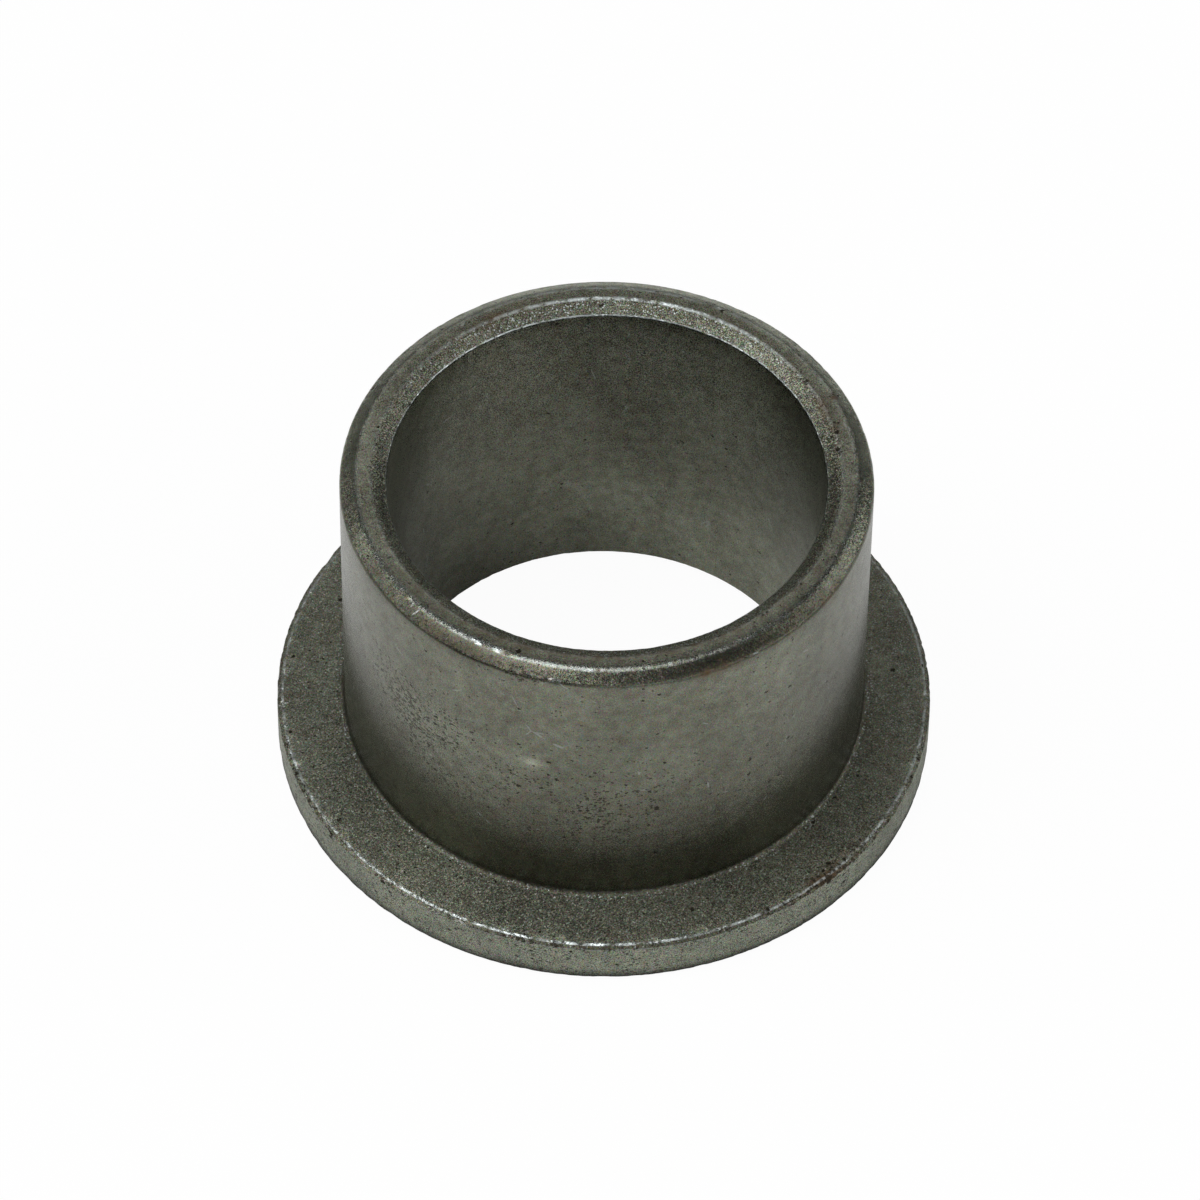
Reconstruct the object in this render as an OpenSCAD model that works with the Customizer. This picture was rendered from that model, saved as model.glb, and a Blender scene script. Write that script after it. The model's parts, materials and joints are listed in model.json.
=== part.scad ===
// Flanged sleeve bushing, pressed and sintered in one piece.
// The thrust face of the flange lies on Z = 0 and the sleeve stands up along +Z, so the origin
// is the centre of the bore in the plane of the thrust face. All sizes are in millimetres.

/* [Sleeve] */
// Diameter of the bore that the shaft runs in
bore_d = 28.7; // [12:0.1:60]
// Thickness of the sleeve's wall
wall_t = 3.1; // [2.6:0.05:6]
// Length from the thrust face to the free end
length = 25.4; // [12:0.1:60]

/* [Flange] */
// How far the flange stands out past the sleeve
flange_step = 4.55; // [2:0.05:12]
// Thickness of the flange
flange_t = 3.25; // [2:0.05:6]
// Radius of the fillet between the sleeve and the flange
fillet_r = 0.4; // [0.1:0.05:1]

/* [Edges] */
// Slope of the chamfers, measured from the end faces
chamfer_angle = 30; // [20:1:45]
// Radial width of the two chamfers at the free end
end_chamfer = 1.05; // [0.2:0.05:1.2]
// Radial width of the bore's chamfer at the thrust face
thrust_chamfer = 0.8; // [0.2:0.05:1.2]
// Radial width of the chamfer on the flange's shoulder
shoulder_chamfer = 0.35; // [0.1:0.05:0.6]
// Radial width of the chamfer around the flange's thrust face
rim_chamfer = 0.3; // [0.1:0.05:0.6]

/* [Hidden] */
bore_r = bore_d / 2;
sleeve_r = bore_r + wall_t;
flange_r = sleeve_r + flange_step;
mid_wall_r = bore_r + wall_t / 2;
metal_colour = [0.36, 0.36, 0.33];
$fn = 360;

// Half of the bushing's section, in a plane through the axis: X is the radius and Y the height.
module section() {
    difference() {
        union() {
            sleeve_wall();
            flange_plate();
            fillet();
        }
        // the free end's two chamfers, one into the bore and one on the outside
        corner_cut(bore_r, length, end_chamfer, 1, -1);
        corner_cut(sleeve_r, length, end_chamfer, -1, -1);
        // the lead into the bore at the thrust face
        corner_cut(bore_r, 0, thrust_chamfer, 1, 1);
        // the flange's two outer edges
        corner_cut(flange_r, flange_t, shoulder_chamfer, -1, -1);
        corner_cut(flange_r, 0, rim_chamfer, -1, 1);
    }
}

module sleeve_wall() {
    translate([bore_r, 0]) square([wall_t, length]);
}

module flange_plate() {
    translate([mid_wall_r, 0]) square([flange_r - mid_wall_r, flange_t]);
}

// The concave quarter round in the corner where the sleeve stands on the flange.
module fillet() {
    corner = [sleeve_r, flange_t];
    difference() {
        translate(corner) square(fillet_r);
        translate(corner + [fillet_r, fillet_r]) circle(r = fillet_r);
    }
}

// The triangle that a chamfer takes off the corner at [r, z]. The signs r_way and z_way, each
// 1 or -1, point from the corner into the metal.
module corner_cut(r, z, width, r_way, z_way) {
    height = width * tan(chamfer_angle);
    polygon([[r, z], [r + r_way * width, z], [r, z + z_way * height]]);
}

module flanged_bushing() {
    color(metal_colour) rotate_extrude() section();
}

flanged_bushing();
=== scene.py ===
import json
import math
from collections import namedtuple

import bpy
import numpy as np
from mathutils import Matrix, Vector, noise


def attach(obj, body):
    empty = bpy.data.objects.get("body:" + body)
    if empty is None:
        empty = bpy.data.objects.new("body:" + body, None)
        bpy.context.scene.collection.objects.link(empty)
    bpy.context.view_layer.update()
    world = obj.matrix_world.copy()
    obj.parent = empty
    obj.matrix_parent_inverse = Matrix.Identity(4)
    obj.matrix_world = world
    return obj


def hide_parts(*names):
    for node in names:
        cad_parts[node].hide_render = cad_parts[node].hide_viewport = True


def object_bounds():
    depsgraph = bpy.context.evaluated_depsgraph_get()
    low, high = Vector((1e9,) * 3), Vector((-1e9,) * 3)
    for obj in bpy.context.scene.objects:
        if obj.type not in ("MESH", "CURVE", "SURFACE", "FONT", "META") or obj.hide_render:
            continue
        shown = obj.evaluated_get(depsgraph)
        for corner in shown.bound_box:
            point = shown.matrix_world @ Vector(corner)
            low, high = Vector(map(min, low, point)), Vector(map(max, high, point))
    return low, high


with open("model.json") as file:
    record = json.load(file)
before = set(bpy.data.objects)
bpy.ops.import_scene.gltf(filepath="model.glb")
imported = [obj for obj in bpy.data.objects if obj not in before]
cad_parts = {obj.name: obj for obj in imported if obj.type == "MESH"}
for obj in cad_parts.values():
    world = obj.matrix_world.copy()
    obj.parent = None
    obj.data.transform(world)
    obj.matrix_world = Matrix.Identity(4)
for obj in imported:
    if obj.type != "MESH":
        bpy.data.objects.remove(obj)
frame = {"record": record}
cad_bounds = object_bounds()

MM = 0.001


# ---------------------------------------------------------------- sizes, from the frame

def mount(name):
    """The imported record's mount of that name."""
    return next(m for m in frame["record"]["mounts"] if m["name"] == name)


BORE_R = mount("shaft_bore")["dims"]["r_mm"] * MM
SLEEVE_R = mount("sleeve_outside")["dims"]["r_mm"] * MM
FLANGE_T = mount("flange_shoulder")["pos_m"][2]
FLANGE_R = cad_bounds[1].x
LENGTH = cad_bounds[1].z

# The chamfers and the fillet, which the frame doesn't name, as they are in the CAD model. A
# chamfer's width is its radial one.
BEVEL_SLOPE = math.tan(math.radians(30))
END_BEVEL = 1.05 * MM
THRUST_BEVEL = 0.8 * MM
SHOULDER_BEVEL = 0.35 * MM
RIM_BEVEL = 0.3 * MM
FILLET_R = 0.4 * MM

# The section's corners, as (radius, height): up the bore, over the free end, down the outside
# and back along the thrust face.
MOUTH_EDGE = Vector((BORE_R, THRUST_BEVEL * BEVEL_SLOPE))
BORE_EDGE = Vector((BORE_R, LENGTH - END_BEVEL * BEVEL_SLOPE))
INNER_EDGE = Vector((BORE_R + END_BEVEL, LENGTH))
OUTER_EDGE = Vector((SLEEVE_R - END_BEVEL, LENGTH))
SLEEVE_EDGE = Vector((SLEEVE_R, LENGTH - END_BEVEL * BEVEL_SLOPE))
FOOT = Vector((SLEEVE_R, FLANGE_T))
SHOULDER_EDGE = Vector((FLANGE_R - SHOULDER_BEVEL, FLANGE_T))
SIDE_EDGE = Vector((FLANGE_R, FLANGE_T - SHOULDER_BEVEL * BEVEL_SLOPE))
LOWER_EDGE = Vector((FLANGE_R, RIM_BEVEL * BEVEL_SLOPE))
RIM_EDGE = Vector((FLANGE_R - RIM_BEVEL, 0.0))
THRUST_EDGE = Vector((BORE_R + THRUST_BEVEL, 0.0))

# The middles of four of its surfaces.
INNER_CHAMFER = (BORE_EDGE + INNER_EDGE) / 2
END_FACE = (INNER_EDGE + OUTER_EDGE) / 2
OUTER_CHAMFER = (OUTER_EDGE + SLEEVE_EDGE) / 2
SHOULDER_CHAMFER = (SHOULDER_EDGE + SIDE_EDGE) / 2


def on_sleeve(height):
    """The place on the sleeve's outside at that height."""
    return Vector((SLEEVE_R, height))


def in_bore(height):
    """The place on the bore's wall at that height."""
    return Vector((BORE_R, height))


# ---------------------------------------------------------------- the section

# row: how far apart the mesh's rows are on a surface. The rest is how it looks. burnish: how
# far the die has rubbed its grain smooth. grain: how much its grains differ. tone: its
# brightness. rust: its brown tint. pits: how many open pores it has.
Surface = namedtuple("Surface", "row burnish grain tone rust pits")

SURFACES = {
    "bore": Surface(1.2 * MM, 0.8, 1.9, 1.3, 0.2, 0.12),
    "inner_chamfer": Surface(0.3 * MM, 0.0, 4.2, 0.9, 0.15, 0.1),
    "end_face": Surface(0.3 * MM, 0.8, 1.4, 1.1, 0.24, 0.15),
    "outer_chamfer": Surface(0.25 * MM, 0.75, 1.0, 0.7, 0.12, 0.25),
    "sleeve": Surface(0.6 * MM, 1.0, 1.2, 0.95, 0.2, 0.14),
    "shoulder": Surface(0.35 * MM, 0.3, 2.4, 0.9, 0.15, 0.2),
    "shoulder_chamfer": Surface(0.15 * MM, 0.3, 2.8, 0.45, 0.2, 1.5),
    "side": Surface(0.35 * MM, 0.4, 3.4, 1.5, 0.0, 0.8),
    "rim_chamfer": Surface(0.15 * MM, 0.2, 3.0, 0.5, 0.25, 0.8),
    "thrust_face": Surface(1.0 * MM, 0.4, 2.6, 1.0, 0.12, 0.15),
    "thrust_chamfer": Surface(0.4 * MM, 0.2, 3.0, 0.9, 0.2, 0.2),
}
LOOKS = ("burnish", "grain", "tone", "rust", "pits")

# A corner of the section. round: the radius that wear has left on it, or the fillet's. ragged:
# how deep its chips go. worn: how bright it is rubbed all round. surface: the surface that runs
# on from it.
Corner = namedtuple("Corner", "place round ragged worn surface")

CORNERS = [
    Corner(MOUTH_EDGE, 0.15 * MM, 0.03 * MM, 0.3, "bore"),
    Corner(BORE_EDGE, 0.22 * MM, 0.03 * MM, 1.1, "inner_chamfer"),
    Corner(INNER_EDGE, 0.65 * MM, 0.02 * MM, 0.2, "end_face"),
    Corner(OUTER_EDGE, 1.0 * MM, 0.02 * MM, 0.2, "outer_chamfer"),
    Corner(SLEEVE_EDGE, 0.35 * MM, 0.03 * MM, 0.0, "sleeve"),
    Corner(FOOT, FILLET_R, 0.0, 0.0, "shoulder"),
    Corner(SHOULDER_EDGE, 0.5 * MM, 0.14 * MM, 0.6, "shoulder_chamfer"),
    Corner(SIDE_EDGE, 0.1 * MM, 0.12 * MM, 0.0, "side"),
    Corner(LOWER_EDGE, 0.08 * MM, 0.04 * MM, 0.0, "rim_chamfer"),
    Corner(RIM_EDGE, 0.1 * MM, 0.02 * MM, 0.3, "thrust_face"),
    Corner(THRUST_EDGE, 0.15 * MM, 0.02 * MM, 0.3, "thrust_chamfer"),
]
ARC_STEP = math.radians(9)
LEAST_ARC_STEPS = 4

# A ring of the mesh. place: its radius and height. normal: its normal in the section. edge: how
# far it is into a corner's arc, from 0 at the arc's ends to 1 in its middle. worn: how worn
# that corner is. looks: the surface that it lies on, or a blend of the two that meet there.
Row = namedtuple("Row", "place normal edge worn looks")


def left_of(way):
    """The direction a quarter turn to the left, which is out of the metal."""
    return Vector((-way.y, way.x))


def turned(way, angle):
    """A direction in the section turned to the left by an angle."""
    return Matrix.Rotation(angle, 2) @ way


def between(first, last, share):
    """The looks that lie that share of the way from the first surface's to the last's."""
    return Surface(*(a + (b - a) * share for a, b in zip(first, last)))


def corner_rows(before, corner, after):
    """The rows round one corner: an arc that touches the two surfaces that meet there."""
    way_in = (corner.place - before.place).normalized()
    way_out = (after.place - corner.place).normalized()
    turn = way_in.angle(way_out)
    # the section turns right at every corner but the foot, where it turns left
    side = 1 if way_in.x * way_out.y > way_in.y * way_out.x else -1
    start = corner.place - way_in * corner.round * math.tan(turn / 2)
    centre = start + left_of(way_in) * side * corner.round
    steps = max(LEAST_ARC_STEPS, math.ceil(turn / ARC_STEP))
    rows = []
    for step in range(steps + 1):
        share = step / steps
        angle = side * turn * share
        looks = between(SURFACES[before.surface], SURFACES[corner.surface], share)
        rows.append(Row(centre + turned(start - centre, angle), turned(left_of(way_in), angle),
                        math.sin(math.pi * share), corner.worn, looks))
    return rows


def straight_rows(first, last, looks):
    """The rows on the flat stretch between two corners' arcs, without its two ends."""
    run = last.place - first.place
    steps = max(1, round(run.length / looks.row))
    return [Row(first.place + run * step / steps, first.normal, 0.0, 0.0, looks)
            for step in range(1, steps)]


def section_rows():
    """Every row of the closed section, in the order of its corners."""
    arcs = []
    for i, corner in enumerate(CORNERS):
        arcs.append(corner_rows(CORNERS[i - 1], corner, CORNERS[(i + 1) % len(CORNERS)]))
    rows = []
    for i, arc in enumerate(arcs):
        following = arcs[(i + 1) % len(arcs)]
        rows += arc + straight_rows(arc[-1], following[0], SURFACES[CORNERS[i].surface])
    return rows


# ---------------------------------------------------------------- marks on the metal

# A mark adds an amount to one look round a place on the section, at an angle in degrees that is
# 0 at the front and grows towards +X. It fades over its reaches round the axis and along the
# section, and as the surface turns away from the way it faces at the mark's place.
Mark = namedtuple("Mark", "look angle place around along amount")

# So long a reach round the axis that the mark is as strong at every angle.
ALL_ROUND = 1.0
# How many of its reaches along the section a mark goes.
MARK_END = 3.0

MARKS = [
    # bright lines on the free end's edges: at the front outside, and at the back inside
    Mark("worn", -16, OUTER_EDGE, 11 * MM, 0.5 * MM, 0.2),
    Mark("worn", -30, OUTER_EDGE, 0.5 * MM, 0.5 * MM, 0.7),
    Mark("worn", -24, OUTER_EDGE, 0.4 * MM, 0.5 * MM, 0.5),
    Mark("worn", -3, OUTER_EDGE, 0.4 * MM, 0.5 * MM, 0.7),
    Mark("worn", 173, INNER_EDGE, 9 * MM, 1 * MM, 1.0),
    Mark("worn", -150, BORE_EDGE, 8 * MM, 0.3 * MM, 1.0),
    Mark("worn", 140, BORE_EDGE, 8 * MM, 0.3 * MM, 0.6),
    # the outer chamfer is dirty at the front, less so in the middle
    Mark("tone", 0, OUTER_CHAMFER, 24 * MM, 0.7 * MM, -0.78),
    Mark("tone", 0, OUTER_CHAMFER, 7 * MM, 0.7 * MM, 0.46),
    # painted shade: the outer chamfer and the sleeve's top edge darkened on both front flanks
    Mark("tone", -50, OUTER_CHAMFER, 8 * MM, 0.7 * MM, -0.25),
    Mark("tone", 52, OUTER_CHAMFER, 8 * MM, 0.7 * MM, -0.2),
    Mark("tone", -38, SLEEVE_EDGE, 6 * MM, 0.5 * MM, -0.25),
    Mark("tone", 40, SLEEVE_EDGE, 6 * MM, 0.5 * MM, -0.2),
    # painted reflection: the outer chamfer lighter on its sides and behind, where it mirrors
    # the floor behind
    Mark("tone", -108, OUTER_CHAMFER, 9 * MM, 0.6 * MM, 0.9),
    Mark("tone", 108, OUTER_CHAMFER, 9 * MM, 0.6 * MM, 0.9),
    Mark("tone", 180, OUTER_CHAMFER, 29 * MM, 0.6 * MM, 1.8),
    # the end face is darker and its grain more open at the back, and it is lighter on the left:
    # painted light from the left
    Mark("burnish", 180, END_FACE, 25 * MM, 1 * MM, -0.3),
    Mark("grain", 180, END_FACE, 25 * MM, 1 * MM, 2.5),
    Mark("tone", 180, END_FACE, 16 * MM, 0.6 * MM, -0.35),
    Mark("tone", -85, END_FACE, 9 * MM, 1 * MM, 0.28),
    # the inner chamfer is smoother on the left and on the right
    Mark("burnish", -90, INNER_CHAMFER, 14 * MM, 0.6 * MM, 0.6),
    Mark("burnish", 90, INNER_CHAMFER, 14 * MM, 0.6 * MM, 0.6),
    # the bore is grainy at its free end. Painted light and shade: it is lighter at the back on
    # the right and lower down, where it mirrors the lit floor, and darker between them and on
    # the left
    Mark("grain", 180, in_bore(23 * MM), ALL_ROUND, 8 * MM, 4.0),
    Mark("tone", 135, in_bore(21 * MM), 7 * MM, 6 * MM, 0.85),
    Mark("tone", 160, in_bore(5 * MM), 11 * MM, 6 * MM, 0.55),
    Mark("tone", 180, in_bore(16 * MM), 9 * MM, 6 * MM, -0.2),
    Mark("tone", -120, in_bore(19 * MM), 4 * MM, 7 * MM, -0.2),
    # painted light and shade: the sleeve is lighter towards its free end and in two lit
    # patches, and darker near its foot, where it mirrors the shaded floor
    Mark("tone", 0, on_sleeve(23 * MM), ALL_ROUND, 5 * MM, 0.26),
    Mark("tone", 0, on_sleeve(9 * MM), ALL_ROUND, 4.5 * MM, -0.25),
    Mark("tone", -38, on_sleeve(14.5 * MM), 6 * MM, 4 * MM, 0.32),
    Mark("tone", 44, on_sleeve(8 * MM), 5 * MM, 3 * MM, 0.25),
    # its grain shows low down and on both flanks
    Mark("grain", 0, on_sleeve(8 * MM), ALL_ROUND, 5 * MM, 1.3),
    Mark("grain", -50, on_sleeve(13 * MM), 7 * MM, 7 * MM, 1.6),
    Mark("grain", 50, on_sleeve(13 * MM), 7 * MM, 7 * MM, 1.4),
    # the pores that the die has left open on it
    Mark("pits", -44, on_sleeve(14.5 * MM), 4 * MM, 5 * MM, 1.5),
    Mark("pits", -6, on_sleeve(11.5 * MM), 8 * MM, 3.5 * MM, 0.8),
    Mark("pits", -17, SLEEVE_EDGE, 1.6 * MM, 0.5 * MM, 1.5),
    # a small pale smudge on it
    Mark("tone", -15, on_sleeve(16.2 * MM), 0.7 * MM, 0.45 * MM, 1.2),
    # the die hardly reaches the sleeve's two ends; the crease at the foot is also darkened,
    # painted shade
    Mark("burnish", 0, FOOT, ALL_ROUND, 0.5 * MM, -0.4),
    Mark("tone", 0, FOOT, ALL_ROUND, 0.5 * MM, -0.35),
    Mark("burnish", 0, SLEEVE_EDGE, ALL_ROUND, 0.35 * MM, -0.25),
    # rust on the free end
    Mark("rust", 112, INNER_EDGE, 3.5 * MM, 0.25 * MM, 0.6),
    Mark("pits", 112, INNER_EDGE, 4 * MM, 0.35 * MM, 1.5),
    Mark("rust", 115, OUTER_EDGE, 0.4 * MM, 0.3 * MM, 1.2),
    Mark("rust", -148, INNER_EDGE, 3 * MM, 0.5 * MM, 0.4),
    Mark("rust", -92, OUTER_CHAMFER, 6 * MM, 0.5 * MM, 0.25),
    Mark("rust", 24, SLEEVE_EDGE, 1.2 * MM, 0.35 * MM, 0.8),
    Mark("rust", 56, SLEEVE_EDGE, 0.8 * MM, 0.2 * MM, 1.0),
    Mark("rust", 0, INNER_EDGE, 14 * MM, 0.2 * MM, 0.5),
    # the flange's upper edge: a bright line at the front, and rust in its pores on the right
    Mark("worn", -8, SHOULDER_EDGE, 16 * MM, 1 * MM, 0.7),
    Mark("rust", 44, SHOULDER_EDGE, 3 * MM, 0.5 * MM, 0.8),
    Mark("pits", 44, SHOULDER_EDGE, 4 * MM, 0.8 * MM, 1.2),
    Mark("pits", 62, SHOULDER_EDGE, 2 * MM, 0.6 * MM, 1.5),
    # its top is lighter on the left, painted light from the left, and grainier on the right
    Mark("tone", -38, SHOULDER_EDGE, 7 * MM, 5 * MM, 0.38),
    Mark("grain", 40, SHOULDER_EDGE, 9 * MM, 5 * MM, 1.6),
    # the chamfer round it is lighter and has fewer pores at the back; the lower edge is
    # darkened all round, painted shade where the flange meets the floor
    Mark("tone", 180, SHOULDER_CHAMFER, 42 * MM, 0.3 * MM, 1.1),
    Mark("pits", 180, SHOULDER_CHAMFER, 42 * MM, 0.3 * MM, -1.3),
    Mark("tone", 0, LOWER_EDGE, ALL_ROUND, 0.45 * MM, -1.5),
]


def facing(place, rows):
    """The section's normal at the row nearest to a place."""
    return min(rows, key=lambda row: (row.place - place).length).normal


def ring_looks(row, look, own, angles, facings):
    """One look of a row at each angle: the row's own amount and what the marks add."""
    values = np.full(len(angles), own)
    for mark, way in zip(MARKS, facings):
        along = (row.place - mark.place).length / mark.along
        if mark.look == look and along < MARK_END:
            turned_to = max(0.0, row.normal.dot(way))
            away = (angles - math.radians(mark.angle) + math.pi) % math.tau - math.pi
            around = away * row.place.x / mark.around
            values += mark.amount * turned_to * np.exp(-along * along - around * around)
    return values


# ---------------------------------------------------------------- the mesh

SEGMENTS = 600

# How far from a ragged corner its chips reach, and the least depth that counts as a chip.
CHIP_REACH = 0.3 * MM
LEAST_CHIP = 0.001 * MM
# How big the chips and the crumbs between them are, and their shares of the depth.
CHIP_SIZE, CHIP_SHARE = 0.7 * MM, 0.75
CRUMB_SIZE, CRUMB_SHARE = 0.3 * MM, 0.35


def smooth_step(value, low, high):
    """0 up to low, 1 from high on, and a smooth rise between them."""
    share = min(1.0, max(0.0, (value - low) / (high - low)))
    return share * share * (3 - 2 * share)


def chip_depth(row, point):
    """How far the metal has chipped away at a point of a row: only near a ragged corner."""
    deepest = 0.0
    for corner in CORNERS:
        away = (row.place - corner.place).length / CHIP_REACH
        deepest = max(deepest, corner.ragged * math.exp(-away * away))
    if deepest < LEAST_CHIP:
        return 0.0
    chips = smooth_step(noise.noise(point / CHIP_SIZE), 0.05, 0.6)
    crumbs = smooth_step(noise.noise(point / CRUMB_SIZE), -0.2, 0.6)
    return deepest * (CHIP_SHARE * chips + CRUMB_SHARE * crumbs)


def ring_point(row, angle):
    """A vertex of the ring that a row sweeps, sunk by the chips there."""
    around = Vector((math.sin(angle), -math.cos(angle), 0.0))
    point = around * row.place.x + Vector((0.0, 0.0, row.place.y))
    outward = around * row.normal.x + Vector((0.0, 0.0, row.normal.y))
    return point - outward * chip_depth(row, point)


def swept_faces(rings):
    """The quads between each ring of vertices and the next. The last ring joins the first."""
    faces = []
    for ring in range(rings):
        this, following = ring * SEGMENTS, (ring + 1) % rings * SEGMENTS
        for j in range(SEGMENTS):
            beside = (j + 1) % SEGMENTS
            faces.append((this + j, this + beside, following + beside, following + j))
    return faces


def store(mesh, name, rings):
    """Keeps one value for each vertex, ring by ring, as an attribute for the material."""
    attribute = mesh.attributes.new(name, "FLOAT", "POINT")
    attribute.data.foreach_set("value", np.concatenate(rings))


def bushing_mesh(rows):
    """The section's rows swept round the axis, with the looks of the metal at each vertex."""
    angles = np.arange(SEGMENTS) * math.tau / SEGMENTS
    mesh = bpy.data.meshes.new("bushing")
    mesh.from_pydata([ring_point(row, angle) for row in rows for angle in angles], [],
                     swept_faces(len(rows)))
    facings = [facing(mark.place, rows) for mark in MARKS]
    for name in LOOKS:
        store(mesh, name, [ring_looks(row, name, getattr(row.looks, name), angles, facings)
                           for row in rows])
    store(mesh, "wear", [row.edge * ring_looks(row, "worn", row.worn, angles, facings)
                         for row in rows])
    mesh.shade_smooth()
    mesh.validate()
    return mesh


def make_bushing():
    """The one piece: the bushing, in place of its CAD solid."""
    bushing = bpy.data.objects.new("bushing", bushing_mesh(section_rows()))
    bpy.context.scene.collection.objects.link(bushing)
    bushing.data.materials.append(sintered_metal())
    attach(bushing, "root")
    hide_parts("flanged_bushing")


# ---------------------------------------------------------------- the material

class Graph:
    """A material's node tree. A node's input is a number, a tuple or another node's output."""

    def __init__(self, name):
        self.material = bpy.data.materials.new(name)
        self.material.use_nodes = True
        self.tree = self.material.node_tree
        self.tree.nodes.clear()
        self.place = self.add("TexCoord", output="Object")

    def add(self, kind, inputs=None, output=0, **settings):
        """Adds a node of that kind. Gives one of its outputs, or nothing if it has none."""
        node = self.tree.nodes.new("ShaderNode" + kind)
        for name, value in settings.items():
            setattr(node, name, value)
        for name, value in (inputs or {}).items():
            if isinstance(value, bpy.types.NodeSocket):
                self.tree.links.new(value, node.inputs[name])
            else:
                node.inputs[name].default_value = value
        return node.outputs[output] if node.outputs else None

    def attribute(self, name):
        """The value that the mesh stores under that name."""
        return self.add("Attribute", output="Fac", attribute_name=name)

    def math(self, operation, first, second=0.0, third=0.0):
        return self.add("Math", {0: first, 1: second, 2: third}, operation=operation)

    def vector(self, operation, first, second=(0.0, 0.0, 0.0)):
        return self.add("VectorMath", {0: first, 1: second}, operation=operation)

    def scaled(self, vector, scale):
        return self.add("VectorMath", {0: vector, "Scale": scale}, operation="SCALE")

    def rise(self, value, low, high, start=0.0, end=1.0):
        """start up to low, end from high on, and a smooth change between them."""
        return self.add("MapRange", {"Value": value, "From Min": low, "From Max": high,
                                     "To Min": start, "To Max": end},
                        interpolation_type="SMOOTHSTEP")

    def colour(self, share, first, last, blend="MIX"):
        """The first colour at share 0, and the last one blended with it at 1."""
        return self.add("Mix", {0: share, 6: first, 7: last}, output=2,
                        data_type="RGBA", blend_type=blend)

    def noise(self, size, detail=2.0, shift=0.0, output="Fac"):
        """Noise from 0 to 1 with lumps of that size. shift takes another part of it."""
        moved = self.vector("ADD", self.place, (shift, shift, shift))
        return self.add("TexNoise", {"Vector": moved, "Scale": 1 / size, "Detail": detail},
                        output=output)

    def cells(self, place, size, output, feature="F1"):
        """Random cells of that size: the Distance to each one's middle, or its own Color."""
        return self.add("TexVoronoi", {"Vector": place, "Scale": 1 / size}, output=output,
                        feature=feature)


METAL = (0.153, 0.162, 0.127, 1)
PALE = (0.46, 0.50, 0.50, 1)
RUST = (0.108, 0.066, 0.034, 1)
PORE = (0.030, 0.027, 0.020, 1)

# The sizes of what shows in the metal, from the widest to the finest.
CLOUD_SIZE = 5 * MM
SCRATCH_SPACING = 4 * MM
SCRATCHED_SIZE = 1.3 * MM
RUST_SIZE = 0.9 * MM
MOTTLE_SIZE = 0.8 * MM
RUBBED_SIZE = 0.5 * MM
BIG_PORE_SPACING = 0.5 * MM
FINE_PORE_SPACING = 0.28 * MM
TINGE_SIZE = 0.09 * MM
FACET_SIZE = 0.09 * MM
GLINT_SIZE = 0.085 * MM
GRAIN_SIZE = 0.075 * MM

# How much lighter or darker the clouds and the mottle are, and how dark a grain can get.
PATCH_DEPTH = 0.14
DARKEST_GRAIN = 0.25
# How much of the bare metal's brightness a scratch has.
SCRATCH_LIGHT = 0.3
# The share of the grains that can glint.
GLINTING = 0.07
# How rough the open metal is, and the metal that the die has burnished.
OPEN_ROUGHNESS = 0.6
BURNISHED_ROUGHNESS = 0.23
# How far a grain's face leans on open and on burnished metal.
OPEN_LEAN = 0.55
BURNISHED_LEAN = 0.06


def grained_colour(g, tone, contrast, grain, clouds):
    """Grains a little lighter, darker, greener or redder than their neighbours."""
    spread = g.math("MULTIPLY", g.math("SUBTRACT", grain, 0.5), contrast)
    for patches in (clouds, g.noise(MOTTLE_SIZE, 2.0, 0.3)):
        spread = g.math("ADD", spread, g.rise(patches, 0.3, 0.7, -PATCH_DEPTH, PATCH_DEPTH))
    level = g.math("MAXIMUM", g.math("ADD", spread, 1.0), DARKEST_GRAIN)
    colour = g.colour(1.0, METAL, g.math("MULTIPLY", level, tone), "MULTIPLY")
    tinge = g.noise(TINGE_SIZE, 1.0, 1.5, output="Color")
    return g.colour(1.0, colour, tinge, "SOFT_LIGHT")


def rust_share(g, rust):
    """A faint brown tint all over, and rust in patches where there is a lot of it."""
    patches = g.rise(g.noise(RUST_SIZE, 4.0, 0.9), 0.42, 0.66)
    share = g.math("MULTIPLY", rust, g.math("MULTIPLY_ADD", patches, 0.7, 0.4))
    return g.math("MINIMUM", share, 1.0)


def pore_layer(g, place, spacing, crowding):
    """1 in the open pores of a layer of cells and 0 between them. crowding is the share of the
    cells that have a pore, and the pores grow with it."""
    dice = g.add("SeparateColor", {"Color": g.cells(place, spacing, "Color")}).node.outputs
    radius = g.math("MULTIPLY_ADD", dice[1], 0.28, 0.18)
    radius = g.math("MULTIPLY", radius, g.math("MULTIPLY_ADD", crowding, 0.4, 0.9))
    middle = g.cells(place, spacing, "Distance")
    hole = g.rise(middle, g.math("MULTIPLY", radius, 0.7), radius, 1.0, 0.0)
    return g.math("MULTIPLY", hole, g.math("LESS_THAN", dice[0], crowding))


def pore_share(g, pits, clouds):
    """How open the metal is: fine pores in crowds, and a few bigger ones, all lying flat."""
    bend = g.vector("SUBTRACT", g.noise(0.2 * MM, 2.0, 0.4, output="Color"), (0.5, 0.5, 0.5))
    bent = g.vector("ADD", g.place, g.scaled(bend, 0.3 * MM))
    flat = g.vector("MULTIPLY", bent, (1.0, 1.0, 1.6))
    crowding = g.math("MULTIPLY", pits, g.rise(clouds, 0.35, 0.65, 0.2, 1.0))
    fine = pore_layer(g, flat, FINE_PORE_SPACING, crowding)
    big = pore_layer(g, flat, BIG_PORE_SPACING, g.math("MULTIPLY", crowding, 0.3))
    return g.math("MAXIMUM", g.math("MULTIPLY", fine, 0.8), big)


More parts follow.
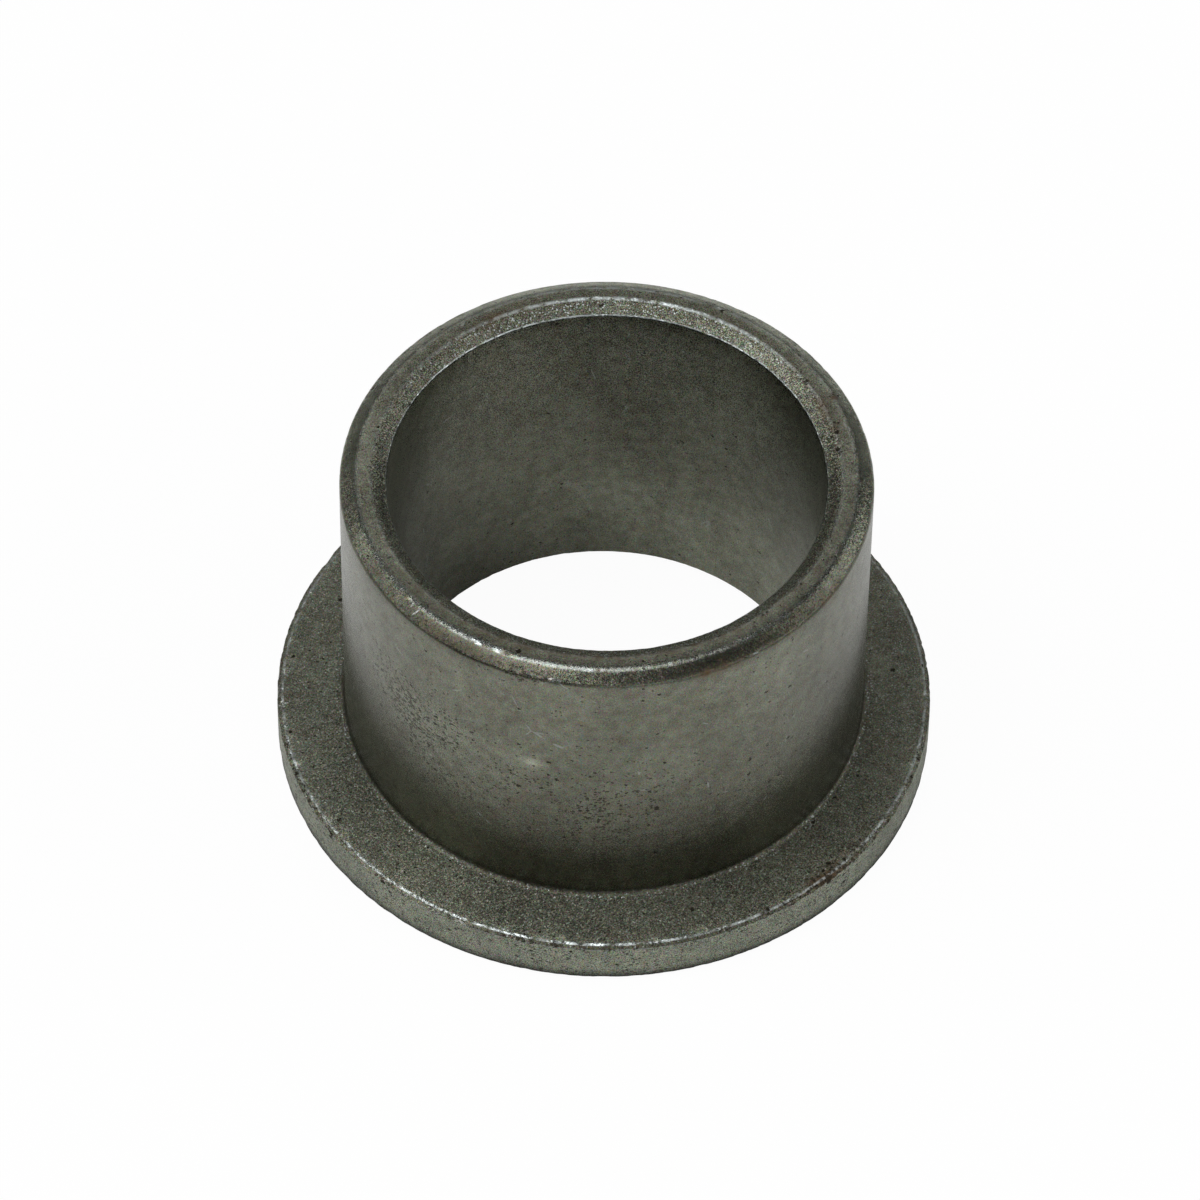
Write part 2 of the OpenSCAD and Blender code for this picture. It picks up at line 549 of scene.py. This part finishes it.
def scratch_share(g):
    """Short, thin, straight scratches here and there."""
    lines = g.cells(g.place, SCRATCH_SPACING, "Distance", "DISTANCE_TO_EDGE")
    near = g.rise(lines, 0.006, 0.014, 1.0, 0.0)
    here = g.rise(g.noise(SCRATCHED_SIZE, 1.0, 2.1), 0.62, 0.68)
    return g.math("MULTIPLY", near, here)


def glint_share(g, burnish):
    """Grains of bare metal, scattered where the die hasn't burnished them over."""
    dice = g.add("SeparateColor", {"Color": g.cells(g.place, GLINT_SIZE, "Color")})
    bare = g.math("GREATER_THAN", dice, 1 - GLINTING)
    return g.math("MULTIPLY", bare, g.rise(burnish, 0.0, 0.5, 0.8, 0.0))


def bright_share(g, wear, burnish):
    """Where bare metal shows: on worn edges, in scratches and in single grains."""
    rubbed = g.math("MULTIPLY", wear, g.rise(g.noise(RUBBED_SIZE, 4.0, 1.2), 0.3, 0.6))
    scratched = g.math("MULTIPLY", scratch_share(g), SCRATCH_LIGHT)
    share = g.math("MAXIMUM", g.math("MAXIMUM", rubbed, scratched), glint_share(g, burnish))
    return g.math("MINIMUM", share, 1.0)


def grain_normal(g, burnish, grain, hole):
    """Each grain's face leans its own way, so that some of them glint."""
    facet = g.vector("SUBTRACT", g.cells(g.place, FACET_SIZE, "Color"), (0.5, 0.5, 0.5))
    lean = g.scaled(facet, g.rise(burnish, 0.0, 1.0, OPEN_LEAN, BURNISHED_LEAN))
    tilted = g.vector("ADD", g.add("NewGeometry", output="Normal"), lean)
    height = g.math("SUBTRACT", grain, g.math("MULTIPLY", hole, 2.0))
    return g.add("Bump", {"Height": height, "Distance": 0.02 * MM, "Strength": 0.5,
                          "Normal": g.vector("NORMALIZE", tilted)})


def sintered_metal():
    """Dark, oily, fine-grained metal: burnished where the die rubbed it and open elsewhere."""
    g = Graph("sintered_metal")
    burnish, contrast, tone, rust, pits = (g.attribute(name) for name in LOOKS)
    clouds = g.noise(CLOUD_SIZE, 3.0)
    grain = g.noise(GRAIN_SIZE, 1.0, 0.6)
    rusty = rust_share(g, rust)
    hole = pore_share(g, pits, clouds)
    bright = bright_share(g, g.attribute("wear"), burnish)

    colour = grained_colour(g, tone, contrast, grain, clouds)
    colour = g.colour(rusty, colour, RUST)
    colour = g.colour(bright, colour, PALE)
    colour = g.colour(hole, colour, PORE)

    roughness = g.rise(burnish, 0.0, 1.0, OPEN_ROUGHNESS, BURNISHED_ROUGHNESS)
    roughness = g.math("MULTIPLY_ADD", bright, -0.16, roughness)
    roughness = g.math("MULTIPLY_ADD", g.math("SUBTRACT", grain, 0.5), 0.15, roughness)
    roughness = g.math("MULTIPLY_ADD", rusty, 0.2, roughness)

    shader = g.add("BsdfPrincipled", {"Base Color": colour, "Metallic": 1.0,
                                      "Roughness": roughness,
                                      "Normal": grain_normal(g, burnish, grain, hole)})
    g.add("OutputMaterial", {"Surface": shader})
    return g.material


# ---------------------------------------------------------------- floor, lights and camera

MIDDLE = Vector((0.0, 0.0, LENGTH / 2))

FLOOR_HALF = 2.0
# The floor lies a hair below the thrust face, so that the two never fight for the same pixels.
FLOOR_DROP = 0.02 * MM
PAPER = (0.8, 0.8, 0.8, 1)
# How far the floor is blank white where the camera sees it directly.
OVEREXPOSED = 0.96

SOFTBOX_DISTANCE = 1.0

# Where the camera aims, which sets where the object stands in the picture.
CAMERA_AIM = MIDDLE + Vector((-0.34 * MM, 0.0, -0.18 * MM))
CAMERA_ELEVATION = 50.3
CAMERA_DISTANCE = 14.5 * 2 * SLEEVE_R
CAMERA_ROLL = 0.8
# The lens and the sensor are in millimetres, as Blender wants them.
CAMERA_LENS = 228.5
CAMERA_SENSOR = 36.0
CAMERA_NEAR = 0.01
CAMERA_FAR = 20.0


def white_floor():
    """White paper. Seen directly it is overexposed, so that hardly any shade shows on it, but
    the metal mirrors it with its shade."""
    g = Graph("white_floor")
    paper = g.add("BsdfDiffuse", {"Color": PAPER})
    blank = g.add("Emission", {"Strength": 1.0})
    seen = g.add("MixShader", {0: OVEREXPOSED, 1: paper, 2: blank})
    direct = g.add("LightPath", output="Is Camera Ray")
    g.add("OutputMaterial", {"Surface": g.add("MixShader", {0: direct, 1: paper, 2: seen})})
    return g.material


def make_floor():
    """A square of white paper under the object."""
    half, drop = FLOOR_HALF, -FLOOR_DROP
    mesh = bpy.data.meshes.new("floor")
    mesh.from_pydata([(-half, -half, drop), (half, -half, drop), (half, half, drop),
                      (-half, half, drop)], [], [(0, 1, 2, 3)])
    floor = bpy.data.objects.new("floor", mesh)
    bpy.context.scene.collection.objects.link(floor)
    floor.data.materials.append(white_floor())


def direction(azimuth, elevation):
    """The way from the object towards that azimuth, from 0 at the front, and elevation."""
    a, e = math.radians(azimuth), math.radians(elevation)
    return Vector((math.sin(a) * math.cos(e), -math.cos(a) * math.cos(e), math.sin(e)))


def softbox(name, azimuth, elevation, width, height, radiance):
    """A white panel of light that faces the object."""
    panel = bpy.data.lights.new(name, "AREA")
    panel.shape = "RECTANGLE"
    panel.size = width
    panel.size_y = height
    panel.energy = radiance * math.pi * width * height
    light = bpy.data.objects.new(name, panel)
    way = direction(azimuth, elevation)
    light.location = MIDDLE + way * SOFTBOX_DISTANCE
    light.rotation_euler = way.to_track_quat("Z", "Y").to_euler()
    light.visible_camera = False
    bpy.context.scene.collection.objects.link(light)


def make_lights():
    """Six softboxes in a black room. Their mirror images shade the metal from dark to light."""
    softbox("key_light", -68, 62, 0.55, 0.5, 5.5)
    softbox("top_light", 0, 90, 0.45, 0.45, 3.0)
    softbox("left_light", -90, 35, 0.8, 0.5, 2.0)
    softbox("right_light", 90, 35, 0.8, 0.5, 2.9)
    softbox("back_light", 180, 38, 0.8, 0.5, 1.05)
    softbox("front_light", 35, 28, 1.4, 0.35, 2.0)
    bpy.context.scene.world = bpy.data.worlds.new("dark_studio")
    bpy.context.scene.world.color = (0, 0, 0)
    bpy.context.scene.view_settings.view_transform = "Standard"


def make_camera():
    """A long lens that looks down into the bore from the front, near the object's middle."""
    lens = bpy.data.cameras.new("camera")
    lens.sensor_width = CAMERA_SENSOR
    lens.lens = CAMERA_LENS
    lens.clip_start = CAMERA_NEAR
    lens.clip_end = CAMERA_FAR
    camera = bpy.data.objects.new("camera", lens)
    way = direction(0, CAMERA_ELEVATION)
    camera.location = CAMERA_AIM + way * CAMERA_DISTANCE
    roll = Matrix.Rotation(math.radians(CAMERA_ROLL), 4, "Z")
    camera.rotation_euler = (way.to_track_quat("Z", "Y").to_matrix().to_4x4() @ roll).to_euler()
    bpy.context.scene.collection.objects.link(camera)
    bpy.context.scene.camera = camera


make_bushing()
make_floor()
make_lights()
make_camera()
